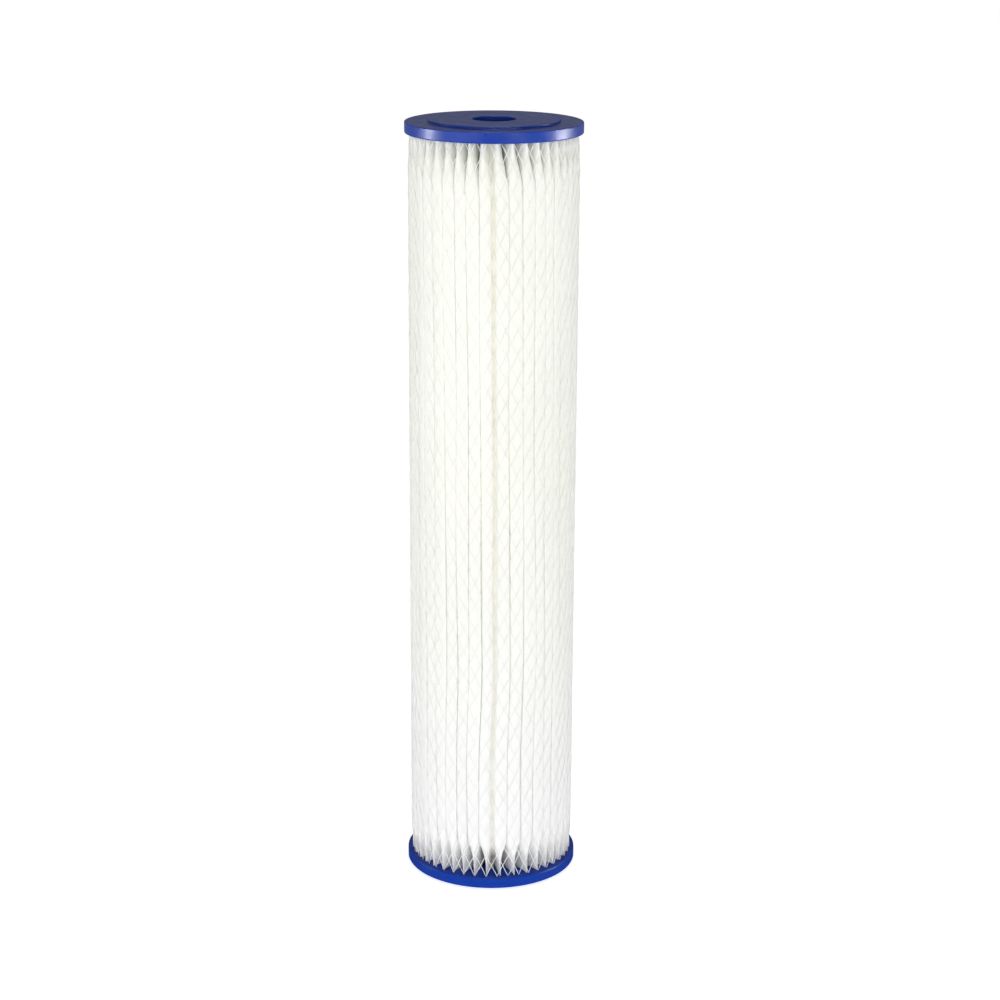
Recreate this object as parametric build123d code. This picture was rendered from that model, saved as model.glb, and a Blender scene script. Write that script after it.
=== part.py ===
from build123d import *
from math import asin, cos, degrees, radians, sin, sqrt
import os

# Pleated cartridge for a large-diameter filter housing. Millimetres and degrees.
# +Z runs along the cartridge, and the origin is the centre of the bottom sealing face.
# An azimuth of 0 is the -Y side, and azimuths grow towards +X.

# Driving dimensions: the standard large-diameter cartridge, 4 1/2 inch by 20 inch
overall_length = 508.0
cap_radius = 114.3 / 2

# End caps, cast in a soft vinyl round the ends of everything between them
rim_height = 7.1
seal_disc_radius = 42.4
seal_disc_height = 1.5
bore_radius = 13.9
rim_outer_fillet = 0.5
rim_inner_fillet = 0.9
seal_edge_fillet = 0.35
bore_edge_fillet = 0.6
potting_depth = 4.0
cap_height = rim_height + seal_disc_height
# Air pits left in the top cap by casting: distance from the axis, azimuth, height, radius
casting_pits = [
    (cap_radius, -5.3, overall_length - seal_disc_height - 1.3, 0.55),
    (seal_disc_radius, 21.9, overall_length - 0.6, 0.6),
]

# Pleated media, one strip folded into radial pleats
pleat_count = 41
media_thickness = 0.5
tip_radius_from_axis = 53.8
tip_round = 0.8
bend_radius_from_axis = 33.0
slit_bottom_from_axis = 20.5
slit_half_gap = 0.15
pleat_twist = -5.0  # how far the top cap turned as it was cast
first_valley = 1.3
# Hand-gathered pleats are uneven: waves per turn, size and phase of the departure
uneven_waves = [(1, 1.9, 70.0), (2, 1.0, 15.0), (4, 1.2, -50.0), (7, 0.6, -55.0)]

# Side seam: the strip's two end flaps, bonded face to face, with adhesive squeezed out between them
bead_share = 0.45  # of the way from the bends to the tips that the bead fills
ridge_height = 8.3  # of the thin ridge that stands on the bead
ridge_half_width = 0.5

# Centre core, a slotted tube
core_outer_radius = 19.0
core_inner_radius = 16.8
slot_width = 5.0
slot_height = 12.0
slot_pitch = 19.0
slots_per_row = 8
core_plain_end = 16.0

# Netting sleeve: two layers of helical strands, fused where they cross
strands_per_layer = 45
strand_width = 0.9
strand_thickness = 0.4
netting_inner_radius = 53.85
crossing_spacing = 15.87
first_crossing_height = 16.57
first_crossing_azimuth = 0.3

# Heights worked out from the above
embedded_bottom = cap_height - potting_depth
embedded_length = overall_length - 2 * embedded_bottom
open_bottom = cap_height
open_length = overall_length - 2 * cap_height


def polar(radius, azimuth, sideways=0.0):
    """The point at a radius along an azimuth, moved sideways at right angles to it."""
    angle = radians(azimuth)
    return Vector(
        radius * sin(angle) + sideways * cos(angle),
        sideways * sin(angle) - radius * cos(angle),
    )


def valley_azimuth(index):
    """Azimuth of the fold between two pleats, unevenly spaced as gathered by hand."""
    even = index * 360 / pleat_count
    uneven = sum(size * sin(radians(waves * even + phase)) for waves, size, phase in uneven_waves)
    return first_valley + even + uneven


def tip_azimuth(index):
    return (valley_azimuth(index) + valley_azimuth(index + 1)) / 2


def tangent_normal(corner, centre, radius, side):
    """Unit vector from a circle's centre to where a line from the corner touches it."""
    to_centre = centre - corner
    lean = degrees(asin(radius / to_centre.length))
    return to_centre.normalized().rotate(Axis.Z, -side * (90 + lean))


def flank(index, side, depth):
    """Root end, bend and tip end of one flank of a pleat, at a depth into the strip.

    side is 1 for the flank next to the pleat's first valley and -1 for the other one.
    """
    valley = valley_azimuth(index if side > 0 else index + 1)
    centre = polar(tip_radius_from_axis - tip_round, tip_azimuth(index))
    corner = polar(bend_radius_from_axis, valley, side * slit_half_gap)
    normal = tangent_normal(corner, centre, tip_round, side)
    tip_end = centre + normal * (tip_round - depth)
    run = Vector(-normal.Y, normal.X)
    along = polar(1, valley)
    root_end = polar(slit_bottom_from_axis, valley, side * (slit_half_gap + depth))
    # where the flank's slit part meets its sloping part
    gap = tip_end - root_end
    reach = (gap.X * run.Y - gap.Y * run.X) / (along.X * run.Y - along.Y * run.X)
    return root_end, root_end + along * reach, tip_end


def strip_side(depth):
    """One face of the folded strip, from flap end to flap end, as a list of edges."""
    edges = []
    for index in range(pleat_count):
        root_up, bend_up, tip_up = flank(index, 1, depth)
        root_down, bend_down, tip_down = flank(index, -1, depth)
        crest = polar(tip_radius_from_axis - depth, tip_azimuth(index))
        edges.append(Edge.make_line(root_up, bend_up))
        edges.append(Edge.make_line(bend_up, tip_up))
        edges.append(Edge.make_three_point_arc(tip_up, crest, tip_down))
        edges.append(Edge.make_line(tip_down, bend_down))
        edges.append(Edge.make_line(bend_down, root_down))
        if index < pleat_count - 1:
            next_root = flank(index + 1, 1, depth)[0]
            fold_radius = slit_half_gap + depth
            fold = polar(slit_bottom_from_axis - fold_radius, valley_azimuth(index + 1))
            edges.append(Edge.make_three_point_arc(root_down, fold, next_root))
    return edges


def twisted(section, bottom, length, angle):
    """A section drawn at Z 0, extruded from a height while it turns about the axis."""
    placed = Pos(0, 0, bottom) * section
    return Solid.extrude_linear_with_rotation(placed, (0, 0, bottom), (0, 0, length), angle)


def strip_length():
    """Length of the strip along its middle, which is the width it was cut to."""
    return sum(edge.length for edge in strip_side(media_thickness / 2))


def make_media():
    outer = strip_side(0.0)
    inner = strip_side(media_thickness)
    flap_ends = [
        Edge.make_line(outer[0] @ 0, inner[0] @ 0),
        Edge.make_line(outer[-1] @ 1, inner[-1] @ 1),
    ]
    section = Face(Wire(outer + inner + flap_ends))
    return twisted(section, embedded_bottom, embedded_length, pleat_twist)


def make_seam():
    """The bond between the two end flaps, in the first valley, with its bead and ridge."""
    root_right, bend_right, tip_right = flank(0, 1, 0.0)
    root_left, bend_left, tip_left = flank(pleat_count - 1, -1, 0.0)
    face_right = bend_right + (tip_right - bend_right) * bead_share
    face_left = bend_left + (tip_left - bend_left) * bead_share
    across = (face_right - face_left).normalized() * ridge_half_width
    outwards = polar(1, valley_azimuth(0))
    foot = (face_right + face_left) / 2
    top = foot + outwards * (ridge_height - ridge_half_width)
    edges = [
        Edge.make_line(root_left, root_right),
        Edge.make_line(root_right, bend_right),
        Edge.make_line(bend_right, face_right),
        Edge.make_line(face_right, foot + across),
        Edge.make_line(foot + across, top + across),
        Edge.make_three_point_arc(top + across, foot + outwards * ridge_height, top - across),
        Edge.make_line(top - across, foot - across),
        Edge.make_line(foot - across, face_left),
        Edge.make_line(face_left, bend_left),
        Edge.make_line(bend_left, root_left),
    ]
    return twisted(Face(Wire(edges)), embedded_bottom, embedded_length, pleat_twist)


def make_core():
    tube = Cylinder(core_outer_radius, embedded_length, align=(Align.CENTER, Align.CENTER, Align.MIN))
    tube -= Cylinder(core_inner_radius, embedded_length, align=(Align.CENTER, Align.CENTER, Align.MIN))
    row_count = int((embedded_length - 2 * core_plain_end - slot_height) / slot_pitch) + 1
    first_row = (embedded_length - (row_count - 1) * slot_pitch) / 2
    turn = 360 / slots_per_row
    slot_pair = Box(2 * core_outer_radius + 2, slot_width, slot_height)
    cutters = []
    for row in range(row_count):
        level = Pos(0, 0, first_row + row * slot_pitch)
        stagger = turn / 2 * (row % 2)
        for pair in range(slots_per_row // 2):
            cutters.append(level * Rot(0, 0, stagger + pair * turn) * slot_pair)
    return Pos(0, 0, embedded_bottom) * (tube - cutters)


def rounded(solid, radius, height, fillet_radius):
    """The solid with its circular edge of this radius, at this height, filleted."""
    edges = [
        edge
        for edge in solid.edges().filter_by(GeomType.CIRCLE)
        if abs(edge.radius - radius) < 0.01 and abs(edge.arc_center.Z - height) < 0.01
    ]
    return fillet(edges, fillet_radius)


def cap_blank():
    """A cap before anything is potted in it, with its sealing face down at Z 0."""
    from_bottom = (Align.CENTER, Align.CENTER, Align.MIN)
    disc = Cylinder(seal_disc_radius, seal_disc_height, align=from_bottom)
    rim = Pos(0, 0, seal_disc_height) * Cylinder(cap_radius, rim_height, align=from_bottom)
    cap = disc + rim - Cylinder(bore_radius, cap_height, align=from_bottom)
    for radius, height, fillet_radius in (
        (bore_radius, 0, bore_edge_fillet),
        (bore_radius, cap_height, bore_edge_fillet),
        (seal_disc_radius, 0, seal_edge_fillet),
        (seal_disc_radius, seal_disc_height, seal_edge_fillet),
        (cap_radius, seal_disc_height, rim_outer_fillet),
        (cap_radius, cap_height, rim_inner_fillet),
    ):
        cap = rounded(cap, radius, height, fillet_radius)
    return cap


def make_bottom_cap(potted):
    return cap_blank() - potted


def make_top_cap(potted):
    cap = Pos(0, 0, overall_length) * mirror(cap_blank(), about=Plane.XY) - potted
    for radius, azimuth, height, size in casting_pits:
        place = polar(radius, azimuth)
        cap -= Pos(place.X, place.Y, height) * Sphere(size)
    return cap


def make_strands(inner_radius, hand):
    """One layer of the netting; hand is 1 for strands that rise towards +X at the front."""
    turn_per_mm = hand * 360 / strands_per_layer / crossing_spacing
    lean = radians(360 / strands_per_layer) * (inner_radius + strand_thickness / 2) / crossing_spacing
    width = strand_width * sqrt(1 + lean * lean)
    half_angle = degrees(width / 2 / inner_radius)
    start = first_crossing_azimuth + turn_per_mm * (open_bottom - first_crossing_height)
    outer_radius = inner_radius + strand_thickness
    corners = [
        polar(radius, start + side * half_angle)
        for radius, side in ((inner_radius, -1), (outer_radius, -1), (outer_radius, 1), (inner_radius, 1))
    ]
    section = Face(
        Wire(
            [
                Edge.make_line(corners[0], corners[1]),
                Edge.make_three_point_arc(corners[1], polar(outer_radius, start), corners[2]),
                Edge.make_line(corners[2], corners[3]),
                Edge.make_three_point_arc(corners[3], polar(inner_radius, start), corners[0]),
            ]
        )
    )
    strand = twisted(section, open_bottom, open_length, turn_per_mm * open_length)
    return [Rot(0, 0, turn * 360 / strands_per_layer) * strand for turn in range(strands_per_layer)]


def write_node(name, *solids):
    shape = solids[0] if len(solids) == 1 else Compound(list(solids))
    export_step(shape, f"parts/{name}.step")


os.makedirs("parts", exist_ok=True)
media = make_media()
seam = make_seam()
core = make_core()
potted = [media, seam, core]
write_node("end_cap_top", make_top_cap(potted))
write_node("end_cap_bottom", make_bottom_cap(potted))
write_node("centre_core", core)
write_node("pleated_media", media)
write_node("seam_adhesive", seam)
write_node("netting_inner_strands", *make_strands(netting_inner_radius, 1))
write_node("netting_outer_strands", *make_strands(netting_inner_radius + strand_thickness, -1))
print(f"media strip: {strip_length():.0f} mm wide, {embedded_length:.1f} mm long")
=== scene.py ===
import bpy
import math
import numpy as np
from mathutils import Matrix, Vector


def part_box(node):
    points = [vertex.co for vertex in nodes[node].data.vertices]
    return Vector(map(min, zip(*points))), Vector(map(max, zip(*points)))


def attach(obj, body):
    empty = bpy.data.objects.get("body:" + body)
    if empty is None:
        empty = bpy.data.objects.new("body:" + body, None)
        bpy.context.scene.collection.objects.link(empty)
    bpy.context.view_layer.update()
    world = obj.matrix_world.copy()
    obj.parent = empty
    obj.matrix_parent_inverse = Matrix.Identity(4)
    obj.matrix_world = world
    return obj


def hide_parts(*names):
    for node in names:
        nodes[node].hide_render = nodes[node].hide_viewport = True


# Pleated filter cartridge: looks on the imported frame. Metres and degrees.
# An azimuth of 0 is the -Y side, and azimuths grow towards +X.

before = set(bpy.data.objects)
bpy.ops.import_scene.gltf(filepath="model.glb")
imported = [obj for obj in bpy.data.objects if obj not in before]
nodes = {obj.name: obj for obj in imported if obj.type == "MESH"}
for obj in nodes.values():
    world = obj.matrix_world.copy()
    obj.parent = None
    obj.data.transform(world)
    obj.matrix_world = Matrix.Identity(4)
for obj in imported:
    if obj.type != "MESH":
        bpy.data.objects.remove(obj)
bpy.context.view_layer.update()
MM = 0.001

# ---------------------------------------------------------------- sizes from the frame
media_low, media_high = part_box("pleated_media")
top_low, top_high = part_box("end_cap_top")
open_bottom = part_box("end_cap_bottom")[1].z
open_top = top_low.z
media_bottom = media_low.z
media_top = media_high.z
overall_length = top_high.z

# ---------------------------------------------------------------- the pleats
# The same folds as the CAD's strip, but the valleys are open down to a smaller radius
PLEATS = 41
THICKNESS = 0.5 * MM
TIP_RADIUS = 53.8 * MM
BEND_RADIUS = 28.0 * MM
SLIT_BOTTOM = 20.5 * MM
SLIT_HALF_GAP = 0.15 * MM
TWIST = -5.0
FIRST_VALLEY = 1.3
# Waves round the cartridge in the pleats' spacing: how many, degrees, phase in degrees
UNEVEN_WAVES = [(1, 1.9, 70.0), (2, 1.0, 15.0), (4, 1.2, -50.0), (7, 0.6, -55.0)]

# How the free length of the pleats departs from the straight folds held by the caps
PINCHED_FOOT = 3 * MM  # from the bottom cap to where the pleats begin to puff out
PINCHED_LENGTH = 22 * MM  # and from there, or from the top cap, to where they are fully out
# A pleat's outline is a superellipse: one exponent rounds its crest, the other fills its flanks
PINCHED_AT_BOTTOM = 0.88  # both exponents at the bottom cap
PINCHED_AT_TOP = 1.6
PUFFED_CREST = 5.0
OPEN_FLANK = 6.0  # of a puffed pleat whose neighbour stands off
PRESSED_FLANK = 400.0  # and of one pressed against its neighbour
PRESSED_DEPTH = 4 * MM  # over which two pressed pleats close up outside the bend
FLANK_STEPS = 8
TILT = 0.20 * MM  # by which one shoulder of a puffed pleat stands above its crest
BULGE = 0.85 * MM  # of the free length beyond the crests in the caps
BULGE_RISE = 25 * MM
ROOT_LIFT = 4.4 * MM  # of the inner folds off the core, which feeds the broader crests
PUFF_MEAN = 0.985  # how fully the pleats swell: their mean, and their spread about it
PUFF_SPREAD = 0.015
SEAM_OPEN_MEAN = 0.92  # how open the seam's valley stays, likewise
SEAM_OPEN_SPREAD = 0.08

# The side seam's adhesive, from the floor of the first valley to its face
BEAD_FACE_MIDDLE = 52.3 * MM  # radius of the face at mid-height
BEAD_FACE_AT_BOTTOM = 34.0 * MM
BEAD_FACE_AT_TOP = 45.0 * MM
BEAD_RISE = 26 * MM  # from a cap to where the face is fully out
BEAD_STEPS = 8
BEAD_HOLLOW = 0.25 * MM
BEAD_SUNK = 0.08 * MM  # into the flaps on both sides
BEAD_WAVE = 0.25 * MM  # of the uneven face, with a finer wave on it
BEAD_FINE_WAVE = 0.15 * MM

# Degrees that the crests stray sideways between the caps
FRONT_STRAY = 2.5  # of the pleats next to the seam, fading away from it
FRONT_FADE = 38  # degrees from the front over which it fades
LEAN_BACK = 0.3  # share of the stray that the front pleats first lean the other way
LEAN_LENGTH = 0.05  # from here on, shares of the media's height
SWING_START = 0.15
SWING_LENGTH = 0.17
STRAIGHT_AT_TOP = 0.08
SWAY = 1.3  # of the pleats at the sides
RIPPLE = 0.3

# Rows of the media's mesh: an even spacing less two waves, in shares of the free length
ROWS = 58
ROW_WAVE = 0.075
ROW_FINE_WAVE = 0.0575

# ---------------------------------------------------------------- the netting
# The CAD's count and crossings, with narrower strands
STRANDS = 45
CROSSING_SPACING = 15.87 * MM
FIRST_CROSSING = 16.57 * MM
FIRST_CROSSING_AZIMUTH = 0.3
STRAND_WIDTH = 0.46 * MM
STRAND_THICKNESS = 0.38 * MM
STRAND_SIDES = 6
STRAND_END = 1.0 * MM  # sunk into each cap
LAYER_OFFSET = 0.06 * MM  # of each layer from their middle
SLACK = 0.25  # millimetres that a strand dips between two crests
SLACK_AT_CAPS = 0.35  # and as much more where the valleys are open
WOBBLE = 0.22  # degrees that a strand strays from its helix, with a slower wave added
SLOW_WOBBLE = 0.15
NET_ROWS = 124


def smooth(x):
    """0 below 0, 1 above 1 and an even rise between."""
    x = np.clip(x, 0.0, 1.0)
    return x * x * (3 - 2 * x)


def valley_azimuth(index):
    """Degrees at the foot, unevenly spaced."""
    even = index * 360 / PLEATS
    uneven = 0
    for waves, size, phase in UNEVEN_WAVES:
        uneven += size * math.sin(math.radians(waves * even + phase))
    return FIRST_VALLEY + even + uneven


VALLEYS = np.array([valley_azimuth(i) for i in range(PLEATS + 1)])
TIPS = (VALLEYS[:-1] + VALLEYS[1:]) / 2


def share_up(z):
    """0 at the media's foot and 1 at its top."""
    return (z - media_bottom) / (media_top - media_bottom)


def free_share(z):
    """0 at the caps and 1 where the pleats are out of their grip."""
    from_cap = min(z - open_bottom - PINCHED_FOOT, open_top - z)
    return float(smooth(from_cap / PINCHED_LENGTH))


def wander(azimuth, z):
    """Degrees that the pleats' crests stray sideways from the straight twist."""
    s = share_up(z)
    belly = math.sin(math.pi * np.clip(s, 0, 1)) ** 2
    front = FRONT_STRAY * math.exp(-((azimuth_from_front(azimuth) / FRONT_FADE) ** 2))
    sway = SWAY * math.sin(math.radians(azimuth)) * math.sin(0.7 + 5.0 * s)
    ripple = RIPPLE * math.sin(math.radians(5 * azimuth) + 14.0 * s)
    rise = (1 + LEAN_BACK) * smooth((s - SWING_START) / SWING_LENGTH) - LEAN_BACK * smooth(s / LEAN_LENGTH)
    return front * float(smooth((1 - s) / STRAIGHT_AT_TOP) * rise) + belly * (sway + ripple)


def azimuth_from_front(azimuth):
    """The same azimuth between -180 and 180."""
    return (azimuth + 180) % 360 - 180


def puff(index, z):
    """How far a pleat has swollen from a sharp crest to a broad one."""
    own = PUFF_MEAN + PUFF_SPREAD * math.sin(2.4 * index + 9 * share_up(z))
    return free_share(z) * own


def openness(valley, z):
    """How open a valley between puffed pleats stays: 1 is a clear gap, and only the seam's has one."""
    if valley % PLEATS == 0:
        return SEAM_OPEN_MEAN + SEAM_OPEN_SPREAD * math.sin(17 * share_up(z))
    return 0.0


def bulge(z):
    """Metres that the filled pleats stand proud of the caps' straight line."""
    return BULGE * float(smooth(min(z - open_bottom, open_top - z) / BULGE_RISE))


def root_radius(z):
    """Radius of the inner folds: on the core at the caps, and drawn off it between them."""
    return SLIT_BOTTOM + ROOT_LIFT * free_share(z)


def between(first, second, share):
    """An exponent part of the way from one to another, going by their reciprocals."""
    return 1 / (1 / first + (1 / second - 1 / first) * share)


def flank_row(index, side, z):
    """Radius and azimuth, root to crest, down one flank of a pleat; side is 0 or 1."""
    theta = np.linspace(0, math.pi / 2, FLANK_STEPS + 1)
    reach = TIP_RADIUS + bulge(z) - BEND_RADIUS
    apart = openness(index + side, z)
    share = puff(index, z)
    pinched = PINCHED_AT_BOTTOM if share_up(z) < 0.5 else PINCHED_AT_TOP
    crest_form = between(pinched, PUFFED_CREST, share)
    flank_form = between(pinched, between(PRESSED_FLANK, OPEN_FLANK, apart), share)
    radius = BEND_RADIUS + reach * np.sin(theta) ** (2 / flank_form)
    width = np.cos(theta) ** (2 / crest_form)
    # Where the pleat is pressed, its deepest open point closes up against the neighbour
    width[1] = 1 - (1 - width[1]) * (1 - share * (1 - apart))
    radius = radius + share * TILT * math.sin(2.7 * index + 1.0) * (1 - 2 * side) * width * np.sin(theta)
    inner = root_radius(z)
    lean = np.clip((radius - inner) / (TIP_RADIUS - inner), 0, 1) ** 2
    crest = TIPS[index]
    valley = VALLEYS[index + side]
    inward = 1 - 2 * side
    pressed = 1 - (1 - apart) * smooth((radius - BEND_RADIUS) / PRESSED_DEPTH)
    gap = np.degrees(SLIT_HALF_GAP * pressed / radius) * inward
    flank = crest + (valley + gap - crest) * width
    strayed = flank + lean * np.array([wander(a, z) for a in flank])
    root = valley + inward * math.degrees(SLIT_HALF_GAP / inner)
    turned = TWIST * share_up(z)
    return np.array([inner, *radius]), np.array([root, *strayed]) + turned


def pleat_row(z):
    """The dirty face of the strip at one height: radius and azimuth of each point in turn."""
    radii = []
    azimuths = []
    for index in range(PLEATS):
        radius, azimuth = flank_row(index, 0, z)
        radii += [*radius]
        azimuths += [*azimuth]
        radius, azimuth = flank_row(index, 1, z)
        radii += [*radius[-2::-1]]
        azimuths += [*azimuth[-2::-1]]
        if index < PLEATS - 1:
            radii.append(root_radius(z) - SLIT_HALF_GAP)
            azimuths.append(VALLEYS[index + 1] + TWIST * share_up(z))
    return np.array(radii), np.array(azimuths)


def plan(radii, azimuths):
    """Points on the ground plane from radii and azimuths."""
    angle = np.radians(azimuths)
    return np.column_stack([radii * np.sin(angle), -radii * np.cos(angle)])


def inner_face(outer):
    """The clean face, one thickness in from the dirty one."""
    run = np.gradient(outer, axis=0)
    length = np.linalg.norm(run, axis=1, keepdims=True)
    run = run / np.maximum(length, 1e-9)
    return outer + THICKNESS * np.column_stack([-run[:, 1], run[:, 0]])


def grid_faces(rows, columns, start=0, flip=False):
    """Quads of a grid of points stored row by row."""
    r, c = np.meshgrid(np.arange(rows - 1), np.arange(columns - 1), indexing="ij")
    a = (start + r * columns + c).ravel()
    quads = np.column_stack([a, a + 1, a + 1 + columns, a + columns])
    return quads[:, ::-1] if flip else quads


def mesh_object(name, points, faces, smooth_angle=None):
    """A smooth-shaded object in the scene; edges sharper than the angle stay crisp."""
    mesh = bpy.data.meshes.new(name)
    mesh.from_pydata([tuple(p) for p in points], [], [tuple(int(i) for i in f) for f in faces])
    mesh.validate()
    mesh.update()
    mesh.polygons.foreach_set("use_smooth", [True] * len(mesh.polygons))
    if smooth_angle is not None:
        mesh.set_sharp_from_angle(angle=math.radians(smooth_angle))
    piece = bpy.data.objects.new(name, mesh)
    bpy.context.scene.collection.objects.link(piece)
    return piece


def media_heights():
    """Rows from foot to top, closest near the caps, where the pleats change shape.

    Past the row on each cap's face, five rows dip into the cap and come back, where they don't show.
    """
    even = np.linspace(0, 1, ROWS - 2)
    fine = ROW_FINE_WAVE * np.sin(4 * math.pi * even)
    eased = even - fine - ROW_WAVE * np.sin(2 * math.pi * even)
    free = open_bottom + (open_top - open_bottom) * eased
    return np.array([media_bottom, *free, media_top])


def make_media():
    """The folded strip as one closed mesh: two faces and the rims that join them."""
    outer_rows = []
    inner_rows = []
    for z in media_heights():
        outer = plan(*pleat_row(z))
        inner = inner_face(outer)
        level = np.full((len(outer), 1), z)
        outer_rows.append(np.hstack([outer, level]))
        inner_rows.append(np.hstack([inner, level]))
    rows = len(outer_rows)
    columns = len(outer_rows[0])
    points = np.vstack(outer_rows + inner_rows)
    start = rows * columns
    faces = [grid_faces(rows, columns), grid_faces(rows, columns, start, flip=True)]
    last = (rows - 1) * columns
    for base, flip in ((0, False), (last, True)):
        a = base + np.arange(columns - 1)
        rim = np.column_stack([a, a + start, a + 1 + start, a + 1])
        faces.append(rim[:, ::-1] if flip else rim)
    for column, flip in ((0, True), (columns - 1, False)):
        a = column + np.arange(rows - 1) * columns
        rim = np.column_stack([a, a + start, a + columns + start, a + columns])
        faces.append(rim[:, ::-1] if flip else rim)
    return mesh_object("pleated_media_strip", points, np.vstack(faces), smooth_angle=70)


def bead_face(z):
    """Radius of the adhesive's face, which falls back near the caps and is uneven between."""
    from_cap = min(z - open_bottom, open_top - z)
    out = float(smooth(from_cap / BEAD_RISE))
    uneven = BEAD_WAVE * math.sin(90 * z) + BEAD_FINE_WAVE * math.sin(241 * z + 1)
    held = BEAD_FACE_AT_BOTTOM if share_up(z) < 0.5 else BEAD_FACE_AT_TOP
    return held + (BEAD_FACE_MIDDLE + uneven - held) * out


def bead_row(z):
    """The adhesive's outline at one height: up one flap, across its hollow face, down the other."""
    levels = np.linspace(root_radius(z), bead_face(z), BEAD_STEPS)
    right = np.interp(levels, *flank_row(0, 0, z)) + np.degrees(BEAD_SUNK / levels)
    left = np.interp(levels, *flank_row(PLEATS - 1, 1, z)) - 360 - np.degrees(BEAD_SUNK / levels)
    radii = [*levels, levels[-1] - BEAD_HOLLOW, *levels[::-1]]
    azimuths = [*left, (left[-1] + right[-1]) / 2, *right[::-1]]
    return plan(np.array(radii), np.array(azimuths))


def make_bead():
    """The adhesive as one closed column of outlines."""
    rows = []
    for z in media_heights():
        outline = bead_row(z)
        rows.append(np.hstack([outline, np.full((len(outline), 1), z)]))
    count = len(rows[0])
    faces = []
    for row in range(len(rows) - 1):
        for column in range(count):
            a = row * count + column
            b = row * count + (column + 1) % count
            faces.append((a, b, b + count, a + count))
    faces.append(tuple(range(count))[::-1])
    faces.append(tuple((len(rows) - 1) * count + column for column in range(count)))
    return mesh_object("side_seam_bead", np.vstack(rows), faces, smooth_angle=40)


def crest_clearance(azimuth, z):
    """Where an azimuth lies between crest and valley: 0 on a crest, 1 in a valley."""
    base = azimuth - TWIST * share_up(z)
    base = base - wander(base, z)
    base = (base - VALLEYS[0]) % 360 + VALLEYS[0]
    index = int(np.clip(np.searchsorted(VALLEYS, base) - 1, 0, PLEATS - 1))
    half = (VALLEYS[index + 1] - VALLEYS[index]) / 2
    return min(abs(base - TIPS[index]) / half, 1.0)


def net_radius(azimuth, z):
    """The strands lie on the crests and dip a little between them."""
    slack = SLACK + SLACK_AT_CAPS * (1 - free_share(z))
    dip = slack * MM * crest_clearance(azimuth, z) ** 2
    return TIP_RADIUS + bulge(z) + STRAND_THICKNESS / 2 - dip


def strand_points(number, hand, low, high):
    """A ring of points round a helical strand at each of its rows."""
    turn_per_metre = hand * 360 / STRANDS / CROSSING_SPACING
    layer = LAYER_OFFSET * hand
    ring = np.linspace(0, 2 * math.pi, STRAND_SIDES, endpoint=False)
    lay = math.atan(math.radians(turn_per_metre) * TIP_RADIUS)
    rows = []
    for z in np.linspace(low, high, NET_ROWS):
        wobble = WOBBLE * math.sin(23 * z / 0.1 + 2.1 * number)
        wobble += SLOW_WOBBLE * math.sin(7.3 * number + 51 * z)
        azimuth = FIRST_CROSSING_AZIMUTH + number * 360 / STRANDS + wobble
        azimuth += turn_per_metre * (z - FIRST_CROSSING)
        radius = net_radius(azimuth, z) + layer
        angle = math.radians(azimuth)
        out = np.array([math.sin(angle), -math.cos(angle), 0])
        across = np.array([math.cos(angle), math.sin(angle), 0])
        side = across * math.cos(lay) - np.array([0, 0, math.sin(lay)])
        centre = out * radius + np.array([0, 0, z])
        rows.append(
            [
                centre + side * STRAND_WIDTH / 2 * math.cos(t) + out * STRAND_THICKNESS / 2 * math.sin(t)
                for t in ring
            ]
        )
    return np.array(rows).reshape(-1, 3)


def make_netting(name, hand):
    """Every strand of one layer, each a closed tube, its ends sunk in the caps."""
    points = []
    faces = []
    low = open_bottom - STRAND_END
    high = open_top + STRAND_END
    per_strand = NET_ROWS * STRAND_SIDES
    r, c = np.meshgrid(np.arange(NET_ROWS - 1), np.arange(STRAND_SIDES), indexing="ij")
    a = (r * STRAND_SIDES + c).ravel()
    b = (r * STRAND_SIDES + (c + 1) % STRAND_SIDES).ravel()
    tube = np.column_stack([a, b, b + STRAND_SIDES, a + STRAND_SIDES])
    for number in range(STRANDS):
        start = number * per_strand
        points.append(strand_points(number, hand, low, high))
        faces += [list(f) for f in tube + start]
        faces.append([start + i for i in reversed(range(STRAND_SIDES))])
        faces.append([start + per_strand - STRAND_SIDES + i for i in range(STRAND_SIDES)])
    return mesh_object(name, np.vstack(points), faces)


# ---------------------------------------------------------------- materials
def new_material(name):
    """A node material, its tree and its main shader."""
    material = bpy.data.materials.new(name)
    material.use_nodes = True
    tree = material.node_tree
    return material, tree, tree.nodes["Principled BSDF"]


def noise(tree, scale, detail=4.0, roughness=0.55, stretch=(1, 1, 1)):
    """Noise in the object's own space; stretch squeezes it along an axis."""
    place = tree.nodes.new("ShaderNodeTexCoord")
    mapping = tree.nodes.new("ShaderNodeMapping")
    mapping.inputs["Scale"].default_value = stretch
    texture = tree.nodes.new("ShaderNodeTexNoise")
    texture.inputs["Scale"].default_value = scale
    texture.inputs["Detail"].default_value = detail
    texture.inputs["Roughness"].default_value = roughness
    tree.links.new(place.outputs["Object"], mapping.inputs["Vector"])
    tree.links.new(mapping.outputs["Vector"], texture.inputs["Vector"])
    return texture.outputs["Fac"]


def ramp(tree, factor, stops):
    """Colours by factor; each stop is a position and a linear colour."""
    node = tree.nodes.new("ShaderNodeValToRGB")
    node.color_ramp.elements[0].position = stops[0][0]
    node.color_ramp.elements[0].color = (*stops[0][1], 1)
    node.color_ramp.elements[1].position = stops[-1][0]
    node.color_ramp.elements[1].color = (*stops[-1][1], 1)
    for position, colour in stops[1:-1]:
        element = node.color_ramp.elements.new(position)
        element.color = (*colour, 1)
    tree.links.new(factor, node.inputs["Fac"])
    return node.outputs["Color"]


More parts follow.
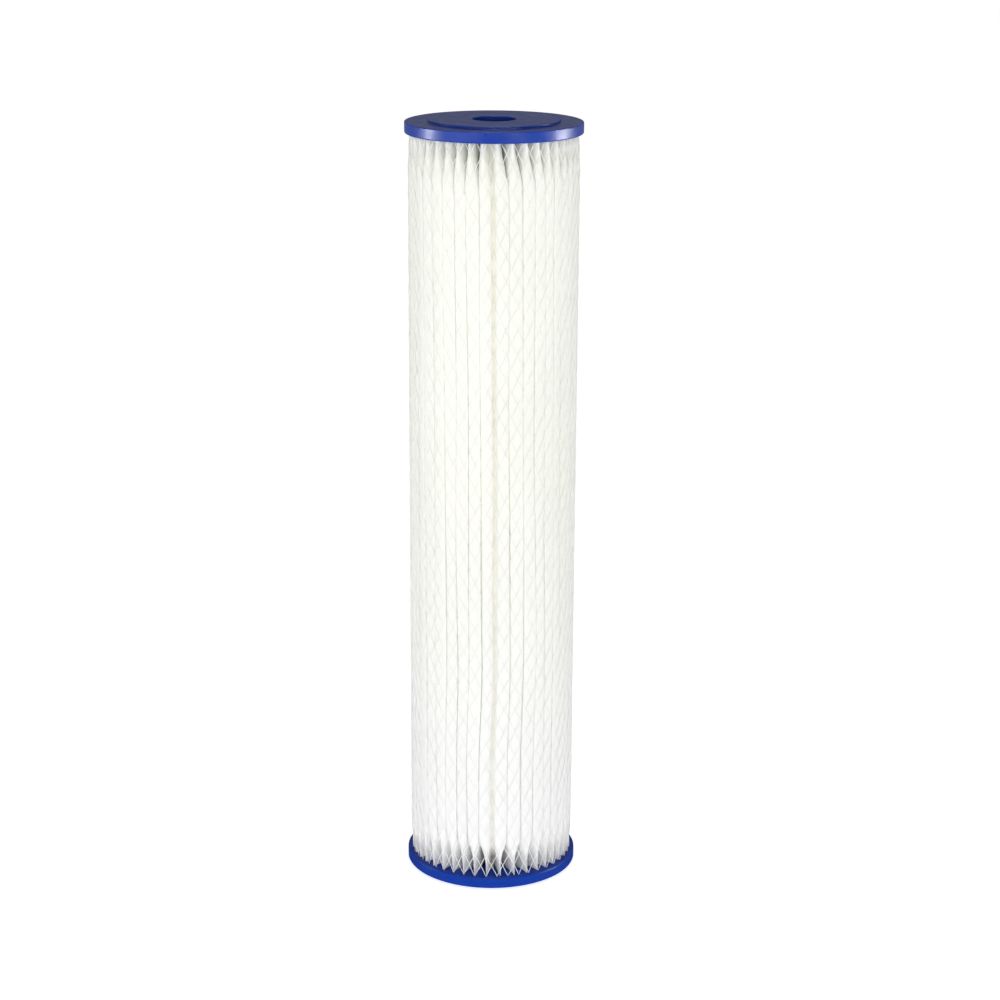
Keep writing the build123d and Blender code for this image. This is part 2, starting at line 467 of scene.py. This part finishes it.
def spread(tree, factor, low, high):
    """The factor's middle range stretched from low to high."""
    node = tree.nodes.new("ShaderNodeMapRange")
    node.inputs["From Min"].default_value = 0.3
    node.inputs["From Max"].default_value = 0.7
    node.inputs["To Min"].default_value = low
    node.inputs["To Max"].default_value = high
    tree.links.new(factor, node.inputs["Value"])
    return node.outputs["Result"]


def height_share(tree, low, high):
    """0 below one height, 1 above another."""
    place = tree.nodes.new("ShaderNodeTexCoord")
    split = tree.nodes.new("ShaderNodeSeparateXYZ")
    node = tree.nodes.new("ShaderNodeMapRange")
    node.inputs["From Min"].default_value = low
    node.inputs["From Max"].default_value = high
    tree.links.new(place.outputs["Object"], split.inputs["Vector"])
    tree.links.new(split.outputs["Z"], node.inputs["Value"])
    return node.outputs["Result"]


def mixed(tree, factor, first, second):
    """The first colour where the factor is 0, the second where it is 1."""
    node = tree.nodes.new("ShaderNodeMix")
    node.data_type = "RGBA"
    tree.links.new(factor, node.inputs[0])
    tree.links.new(first, node.inputs[6])
    tree.links.new(second, node.inputs[7])
    return node.outputs[2]


def bumped(tree, shader, heights):
    """Bumps one after another; each is a height, its strength and its depth in metres."""
    normal = None
    for height, strength, distance in heights:
        node = tree.nodes.new("ShaderNodeBump")
        node.inputs["Strength"].default_value = strength
        node.inputs["Distance"].default_value = distance
        tree.links.new(height, node.inputs["Height"])
        if normal is not None:
            tree.links.new(normal, node.inputs["Normal"])
        normal = node.outputs["Normal"]
    tree.links.new(normal, shader.inputs["Normal"])


def cap_material(name, gloss):
    """Cast soft vinyl, satin, with a faint mottle and the fine grain of the mould."""
    material, tree, shader = new_material(name)
    mottle = noise(tree, 55, detail=3)
    grain = noise(tree, 900, detail=5)
    colour = ramp(tree, mottle, [(0.3, (0.002, 0.036, 0.330)), (0.7, (0.003, 0.044, 0.380))])
    tree.links.new(colour, shader.inputs["Base Color"])
    tree.links.new(spread(tree, noise(tree, 140), 0.30, 0.42), shader.inputs["Roughness"])
    shader.inputs["Specular IOR Level"].default_value = gloss
    bumped(tree, shader, [(mottle, 0.06, 0.0006), (grain, 0.12, 0.00008)])
    return material


def media_material():
    """Spunbonded nonwoven: matt off-white, fibres laid every way, faint bonding flecks; cream along its
    length, with a painted cooler white near the foot for light bounced off the floor.
    """
    material, tree, shader = new_material("nonwoven_media")
    tone = noise(tree, 22, detail=4, stretch=(1, 1, 0.25))
    fibres = noise(tree, 1500, detail=6, roughness=0.7, stretch=(1, 1, 0.35))
    # Painted floor bounce: this whiter, cooler ramp stands in for light bounced off the pale floor onto
    # the foot; the cream ramp is the media's own colour.
    white = ramp(tree, tone, [(0.3, (0.885, 0.884, 0.884)), (0.7, (0.925, 0.925, 0.925))])
    cream = ramp(tree, tone, [(0.3, (0.885, 0.889, 0.815)), (0.7, (0.930, 0.935, 0.862))])
    # Painted floor bounce: white below 5 cm, blending into cream by 28 cm up.
    colour = mixed(tree, height_share(tree, 0.05, 0.28), white, cream)
    tree.links.new(colour, shader.inputs["Base Color"])
    tree.links.new(spread(tree, fibres, 0.75, 0.95), shader.inputs["Roughness"])
    shader.inputs["Sheen Weight"].default_value = 0.15
    bumped(tree, shader, [(tone, 0.15, 0.0010), (fibres, 0.30, 0.00012)])
    return material


def netting_material():
    """Extruded polyethylene net, milky and slightly glossy."""
    material, tree, shader = new_material("milky_netting")
    tone = noise(tree, 60)
    draw = noise(tree, 700, stretch=(1, 1, 0.15))
    colour = ramp(tree, tone, [(0.3, (0.86, 0.87, 0.86)), (0.7, (0.93, 0.94, 0.93))])
    tree.links.new(colour, shader.inputs["Base Color"])
    tree.links.new(spread(tree, draw, 0.28, 0.42), shader.inputs["Roughness"])
    bumped(tree, shader, [(draw, 0.15, 0.00008)])
    return material


def core_material():
    """Moulded polypropylene, translucent white, with fine flow lines along its length."""
    material, tree, shader = new_material("white_polypropylene")
    flow = noise(tree, 160, stretch=(1, 1, 0.08))
    colour = ramp(tree, flow, [(0.3, (0.74, 0.75, 0.73)), (0.7, (0.82, 0.83, 0.81))])
    tree.links.new(colour, shader.inputs["Base Color"])
    tree.links.new(spread(tree, flow, 0.35, 0.5), shader.inputs["Roughness"])
    bumped(tree, shader, [(flow, 0.2, 0.0002)])
    return material


def adhesive_material():
    """Hot-melt bead, a pale amber near cream, and a little cloudy."""
    material, tree, shader = new_material("amber_hot_melt")
    cloud = noise(tree, 180)
    colour = ramp(tree, cloud, [(0.3, (0.85, 0.82, 0.70)), (0.7, (0.90, 0.88, 0.78))])
    tree.links.new(colour, shader.inputs["Base Color"])
    tree.links.new(spread(tree, cloud, 0.25, 0.45), shader.inputs["Roughness"])
    bumped(tree, shader, [(cloud, 0.3, 0.0004)])
    return material


def floor_material():
    """White studio paper, lit from within so that it stays white everywhere."""
    material, tree, shader = new_material("pale_floor")
    tone = noise(tree, 3)
    colour = ramp(tree, tone, [(0.3, (0.88, 0.88, 0.88)), (0.7, (0.90, 0.90, 0.90))])
    tree.links.new(colour, shader.inputs["Base Color"])
    shader.inputs["Roughness"].default_value = 0.8
    shader.inputs["Emission Color"].default_value = (1, 1, 1, 1)
    shader.inputs["Emission Strength"].default_value = 0.75
    return material


def wear(piece, material):
    """Gives a piece one material and no other."""
    piece.data.materials.clear()
    piece.data.materials.append(material)


# ---------------------------------------------------------------- camera, light and floor
def aim(piece, place, forward, up):
    """Puts a camera or light at a place, looking along forward."""
    back = -forward.normalized()
    right = up.cross(back).normalized()
    turned = Matrix((right, back.cross(right), back)).transposed().to_4x4()
    piece.matrix_world = Matrix.Translation(place) @ turned


def make_camera():
    """A long lens from a little above, level with the cartridge's upper part."""
    pitch = math.radians(16.2)
    yaw = math.radians(-0.19)
    roll = math.radians(-0.30)
    data = bpy.data.cameras.new("camera")
    data.lens = 84.7
    data.sensor_width = 36
    camera = bpy.data.objects.new("camera", data)
    bpy.context.scene.collection.objects.link(camera)
    ahead = Vector((-math.sin(yaw), math.cos(yaw), 0))
    right = Vector((math.cos(yaw), math.sin(yaw), 0))
    forward = ahead * math.cos(pitch) - Vector((0, 0, math.sin(pitch)))
    level_up = ahead * math.sin(pitch) + Vector((0, 0, math.cos(pitch)))
    up = right * math.sin(roll) + level_up * math.cos(roll)
    aim(camera, Vector((0, -1.5, 0.692)), forward, up)
    bpy.context.scene.camera = camera


def softbox(name, place, target, width, height, power, gloss=True, diffuse=True):
    """A rectangular area light, which may be kept out of gloss or off diffuse faces."""
    data = bpy.data.lights.new(name, "AREA")
    data.shape = "RECTANGLE"
    data.size = width
    data.size_y = height
    data.energy = power
    light = bpy.data.objects.new(name, data)
    light.visible_diffuse = diffuse
    light.visible_glossy = gloss
    bpy.context.scene.collection.objects.link(light)
    aim(light, Vector(place), Vector(target) - Vector(place), Vector((0, 0, 1)))


def make_lights():
    """Side strips for the rims' highlights, broad soft fronts for the pleats, gloss from overhead."""
    middle = (0, 0, overall_length / 2)
    softbox("left_strip", (-1.50, -0.03, 0.19), middle, 0.36, 0.62, 20.5, diffuse=False)
    softbox("right_strip", (1.49, 0.18, 0.19), middle, 0.30, 0.62, 34, diffuse=False)
    softbox("right_front", (1.00, -1.72, 0.42), middle, 0.62, 0.8, 5.2)
    softbox("left_front", (-1.36, -1.74, 0.42), middle, 1.7, 0.8, 10)
    softbox("overhead", (0, -0.35, 2.3), middle, 0.9, 0.5, 32, diffuse=False)
    softbox("front_fill", (0.1, -2.6, 0.85), middle, 1.2, 0.9, 8.0, gloss=False)


def make_world():
    """An even white sky that fades to black well below the horizon."""
    world = bpy.data.worlds.new("studio")
    world.use_nodes = True
    tree = world.node_tree
    background = tree.nodes["Background"]
    background.inputs["Color"].default_value = (1, 1, 1, 1)
    direction = tree.nodes.new("ShaderNodeTexCoord")
    split = tree.nodes.new("ShaderNodeSeparateXYZ")
    fade = tree.nodes.new("ShaderNodeMapRange")
    fade.inputs["From Min"].default_value = -0.36
    fade.inputs["From Max"].default_value = -0.16
    fade.inputs["To Min"].default_value = 0.0
    fade.inputs["To Max"].default_value = 0.30
    tree.links.new(direction.outputs["Generated"], split.inputs["Vector"])
    tree.links.new(split.outputs["Z"], fade.inputs["Value"])
    tree.links.new(fade.outputs["Result"], background.inputs["Strength"])
    bpy.context.scene.world = world


def make_floor():
    """A wide pale sheet under the cartridge, far larger than the view, just clear of the seal face."""
    half = 30.0
    level = -0.1 * MM
    corners = ((-half, -half), (half, -half), (half, half), (-half, half))
    points = [(x, y, level) for x, y in corners]
    floor = mesh_object("studio_floor", points, [(0, 1, 2, 3)])
    wear(floor, floor_material())
    floor.visible_glossy = False


# ---------------------------------------------------------------- build
make_camera()
make_lights()
make_world()
make_floor()

media = make_media()
wear(media, media_material())
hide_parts("pleated_media")
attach(media, "root")

bead = make_bead()
wear(bead, adhesive_material())
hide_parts("seam_adhesive")
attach(bead, "root")

net_finish = netting_material()
for name, hand, node in (
    ("netting_right_hand_lay", 1, "netting_inner_strands"),
    ("netting_left_hand_lay", -1, "netting_outer_strands"),
):
    net = make_netting(name, hand)
    wear(net, net_finish)
    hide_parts(node)
    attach(net, "root")

wear(nodes["end_cap_top"], cap_material("blue_cast_vinyl", 0.30))
wear(nodes["end_cap_bottom"], cap_material("blue_cast_vinyl_foot", 0.12))
wear(nodes["centre_core"], core_material())

bpy.context.scene.view_settings.view_transform = "Standard"
